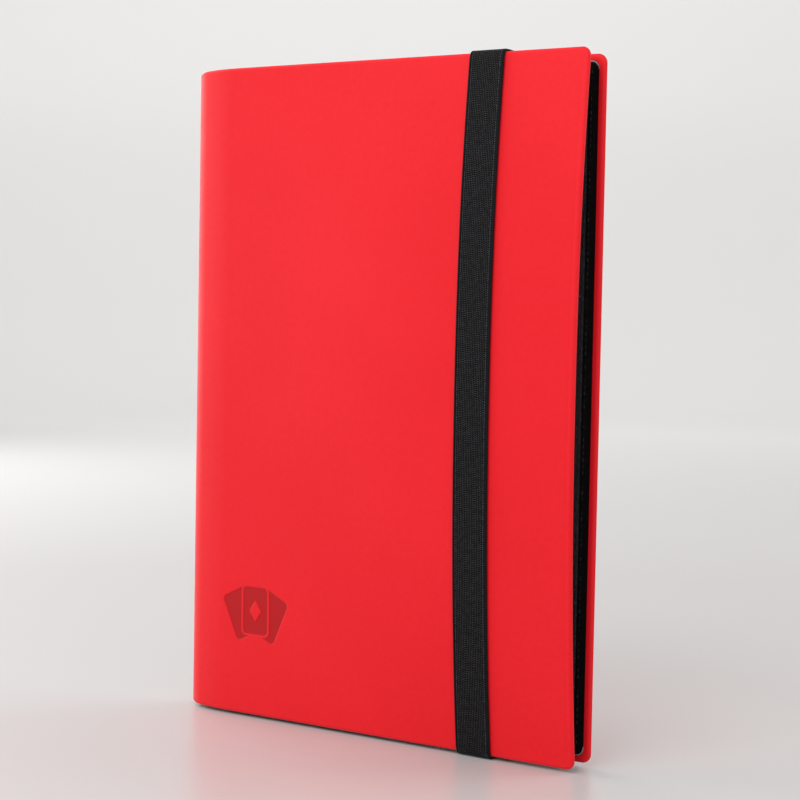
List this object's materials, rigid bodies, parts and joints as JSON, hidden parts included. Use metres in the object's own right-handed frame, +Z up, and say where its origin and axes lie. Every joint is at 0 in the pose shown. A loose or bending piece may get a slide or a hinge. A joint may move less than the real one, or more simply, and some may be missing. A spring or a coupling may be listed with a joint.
{
  "type": "trading card binder",
  "caption": "Upright pocket-page binder for trading cards, with soft-wrapped padded covers, a rounded spine, bound pages and a vertical elastic strap near the fore edge.",
  "frame": {"origin": "centre of the footprint of the bounding box, on the surface the binder stands on", "axes": "+X from the spine to the fore edge, +Y from the front cover to the back cover, +Z up along the spine"},
  "size_m": [0.232, 0.024, 0.328],
  "materials": {
    "cover_wrap": "soft-touch matte, fine grain",
    "padding": "matte closed-cell foam",
    "stiffener": "matte pressed board",
    "inner_panel": "fine grained",
    "binding_tape": "plain woven tape",
    "thread": "twisted thread",
    "elastic": "ribbed knitted elastic",
    "page_sheet": "fine sand texture",
    "pocket_film": "clear, slightly grained"
  },
  "bodies": {
    "back_cover": {"back_skin": "cover_wrap", "back_foam": "padding", "back_board": "stiffener", "back_lining": "inner_panel", "strap_end_top": "elastic", "strap_end_bottom": "elastic", "strap_stitches": "thread"},
    "spine": {"spine_skin": "cover_wrap", "spine_board": "stiffener", "spine_lining": "inner_panel", "page_binding": "binding_tape", "binding_stitches": "thread"},
    "front_cover": {"front_skin": "cover_wrap", "front_foam": "padding", "front_board": "stiffener", "front_lining": "inner_panel"},
    "strap": {"strap_band": "elastic"},
    "page_01": {"page_01_sheet": "page_sheet", "page_01_pockets": "pocket_film"},
    "page_02": {"page_02_sheet": "page_sheet", "page_02_pockets": "pocket_film"},
    "page_03": {"page_03_sheet": "page_sheet", "page_03_pockets": "pocket_film"},
    "page_04": {"page_04_sheet": "page_sheet", "page_04_pockets": "pocket_film"},
    "page_05": {"page_05_sheet": "page_sheet", "page_05_pockets": "pocket_film"},
    "page_06": {"page_06_sheet": "page_sheet", "page_06_pockets": "pocket_film"},
    "page_07": {"page_07_sheet": "page_sheet", "page_07_pockets": "pocket_film"},
    "page_08": {"page_08_sheet": "page_sheet", "page_08_pockets": "pocket_film"},
    "page_09": {"page_09_sheet": "page_sheet", "page_09_pockets": "pocket_film"},
    "page_10": {"page_10_sheet": "page_sheet", "page_10_pockets": "pocket_film"},
    "page_11": {"page_11_sheet": "page_sheet", "page_11_pockets": "pocket_film"},
    "page_12": {"page_12_sheet": "page_sheet", "page_12_pockets": "pocket_film"},
    "page_13": {"page_13_sheet": "page_sheet", "page_13_pockets": "pocket_film"},
    "page_14": {"page_14_sheet": "page_sheet", "page_14_pockets": "pocket_film"},
    "page_15": {"page_15_sheet": "page_sheet", "page_15_pockets": "pocket_film"},
    "page_16": {"page_16_sheet": "page_sheet", "page_16_pockets": "pocket_film"},
    "page_17": {"page_17_sheet": "page_sheet", "page_17_pockets": "pocket_film"},
    "page_18": {"page_18_sheet": "page_sheet", "page_18_pockets": "pocket_film"},
    "page_19": {"page_19_sheet": "page_sheet", "page_19_pockets": "pocket_film"},
    "page_20": {"page_20_sheet": "page_sheet", "page_20_pockets": "pocket_film"}
  },
  "joints": [
    {"name": "spine_fold", "type": "hinge", "parent": "back_cover", "child": "spine", "pos_m": [-0.106, 0.01055, 0], "axis": [0, 0, -1], "range_deg": [0, 90]},
    {"name": "cover_fold", "type": "hinge", "parent": "spine", "child": "front_cover", "pos_m": [-0.106, -0.01045, 0], "axis": [0, 0, -1], "range_deg": [0, 90]},
    {"name": "strap_swing", "type": "hinge", "parent": "back_cover", "child": "strap", "pos_m": [0.06264, 0.0023, 0], "axis": [0, 0, 1], "range_deg": [0, 180], "deforming": ["strap_band"]},
    {"name": "page_01_turn", "type": "hinge", "parent": "spine", "child": "page_01", "pos_m": [-0.1026, -0.00421, 0], "axis": [0, 0, -1], "range_deg": [0, 82.01]},
    {"name": "page_02_turn", "type": "hinge", "parent": "spine", "child": "page_02", "pos_m": [-0.1026, -0.00361, 0], "axis": [0, 0, -1], "range_deg": [0, 79.41]},
    {"name": "page_03_turn", "type": "hinge", "parent": "spine", "child": "page_03", "pos_m": [-0.1026, -0.00301, 0], "axis": [0, 0, -1], "range_deg": [0, 76.81]},
    {"name": "page_04_turn", "type": "hinge", "parent": "spine", "child": "page_04", "pos_m": [-0.1026, -0.00241, 0], "axis": [0, 0, -1], "range_deg": [0, 74.21]},
    {"name": "page_05_turn", "type": "hinge", "parent": "spine", "child": "page_05", "pos_m": [-0.1026, -0.00181, 0], "axis": [0, 0, -1], "range_deg": [0, 71.61]},
    {"name": "page_06_turn", "type": "hinge", "parent": "spine", "child": "page_06", "pos_m": [-0.1026, -0.00121, 0], "axis": [0, 0, -1], "range_deg": [0, 69.01]},
    {"name": "page_07_turn", "type": "hinge", "parent": "spine", "child": "page_07", "pos_m": [-0.1026, -0.00061, 0], "axis": [0, 0, -1], "range_deg": [0, 66.41]},
    {"name": "page_08_turn", "type": "hinge", "parent": "spine", "child": "page_08", "pos_m": [-0.1026, -0.00001, 0], "axis": [0, 0, -1], "range_deg": [0, 63.81]},
    {"name": "page_09_turn", "type": "hinge", "parent": "spine", "child": "page_09", "pos_m": [-0.1026, 0.00059, 0], "axis": [0, 0, -1], "range_deg": [0, 61.21]},
    {"name": "page_10_turn", "type": "hinge", "parent": "spine", "child": "page_10", "pos_m": [-0.1026, 0.00119, 0], "axis": [0, 0, -1], "range_deg": [0, 58.61]},
    {"name": "page_11_turn", "type": "hinge", "parent": "spine", "child": "page_11", "pos_m": [-0.1026, 0.00179, 0], "axis": [0, 0, -1], "range_deg": [-58.61, 0]},
    {"name": "page_12_turn", "type": "hinge", "parent": "spine", "child": "page_12", "pos_m": [-0.1026, 0.00239, 0], "axis": [0, 0, -1], "range_deg": [-61.21, 0]},
    {"name": "page_13_turn", "type": "hinge", "parent": "spine", "child": "page_13", "pos_m": [-0.1026, 0.00299, 0], "axis": [0, 0, -1], "range_deg": [-63.81, 0]},
    {"name": "page_14_turn", "type": "hinge", "parent": "spine", "child": "page_14", "pos_m": [-0.1026, 0.00359, 0], "axis": [0, 0, -1], "range_deg": [-66.41, 0]},
    {"name": "page_15_turn", "type": "hinge", "parent": "spine", "child": "page_15", "pos_m": [-0.1026, 0.00419, 0], "axis": [0, 0, -1], "range_deg": [-69.01, 0]},
    {"name": "page_16_turn", "type": "hinge", "parent": "spine", "child": "page_16", "pos_m": [-0.1026, 0.00479, 0], "axis": [0, 0, -1], "range_deg": [-71.61, 0]},
    {"name": "page_17_turn", "type": "hinge", "parent": "spine", "child": "page_17", "pos_m": [-0.1026, 0.00539, 0], "axis": [0, 0, -1], "range_deg": [-74.21, 0]},
    {"name": "page_18_turn", "type": "hinge", "parent": "spine", "child": "page_18", "pos_m": [-0.1026, 0.00599, 0], "axis": [0, 0, -1], "range_deg": [-76.81, 0]},
    {"name": "page_19_turn", "type": "hinge", "parent": "spine", "child": "page_19", "pos_m": [-0.1026, 0.00659, 0], "axis": [0, 0, -1], "range_deg": [-79.41, 0]},
    {"name": "page_20_turn", "type": "hinge", "parent": "spine", "child": "page_20", "pos_m": [-0.1026, 0.00719, 0], "axis": [0, 0, -1], "range_deg": [-82.01, 0]}
  ],
  "couplings": [
    {"joint": "cover_fold", "follows": "spine_fold", "ratio": 1},
    {"joint": "strap_swing", "follows": "spine_fold", "ratio": 2},
    {"joint": "page_01_turn", "follows": "spine_fold", "ratio": 0.9111},
    {"joint": "page_02_turn", "follows": "spine_fold", "ratio": 0.8822},
    {"joint": "page_03_turn", "follows": "spine_fold", "ratio": 0.8533},
    {"joint": "page_04_turn", "follows": "spine_fold", "ratio": 0.8244},
    {"joint": "page_05_turn", "follows": "spine_fold", "ratio": 0.7956},
    {"joint": "page_06_turn", "follows": "spine_fold", "ratio": 0.7667},
    {"joint": "page_07_turn", "follows": "spine_fold", "ratio": 0.7378},
    {"joint": "page_08_turn", "follows": "spine_fold", "ratio": 0.7089},
    {"joint": "page_09_turn", "follows": "spine_fold", "ratio": 0.68},
    {"joint": "page_10_turn", "follows": "spine_fold", "ratio": 0.6511},
    {"joint": "page_11_turn", "follows": "spine_fold", "ratio": -0.6511},
    {"joint": "page_12_turn", "follows": "spine_fold", "ratio": -0.68},
    {"joint": "page_13_turn", "follows": "spine_fold", "ratio": -0.7089},
    {"joint": "page_14_turn", "follows": "spine_fold", "ratio": -0.7378},
    {"joint": "page_15_turn", "follows": "spine_fold", "ratio": -0.7667},
    {"joint": "page_16_turn", "follows": "spine_fold", "ratio": -0.7956},
    {"joint": "page_17_turn", "follows": "spine_fold", "ratio": -0.8244},
    {"joint": "page_18_turn", "follows": "spine_fold", "ratio": -0.8533},
    {"joint": "page_19_turn", "follows": "spine_fold", "ratio": -0.8822},
    {"joint": "page_20_turn", "follows": "spine_fold", "ratio": -0.9111}
  ]
}
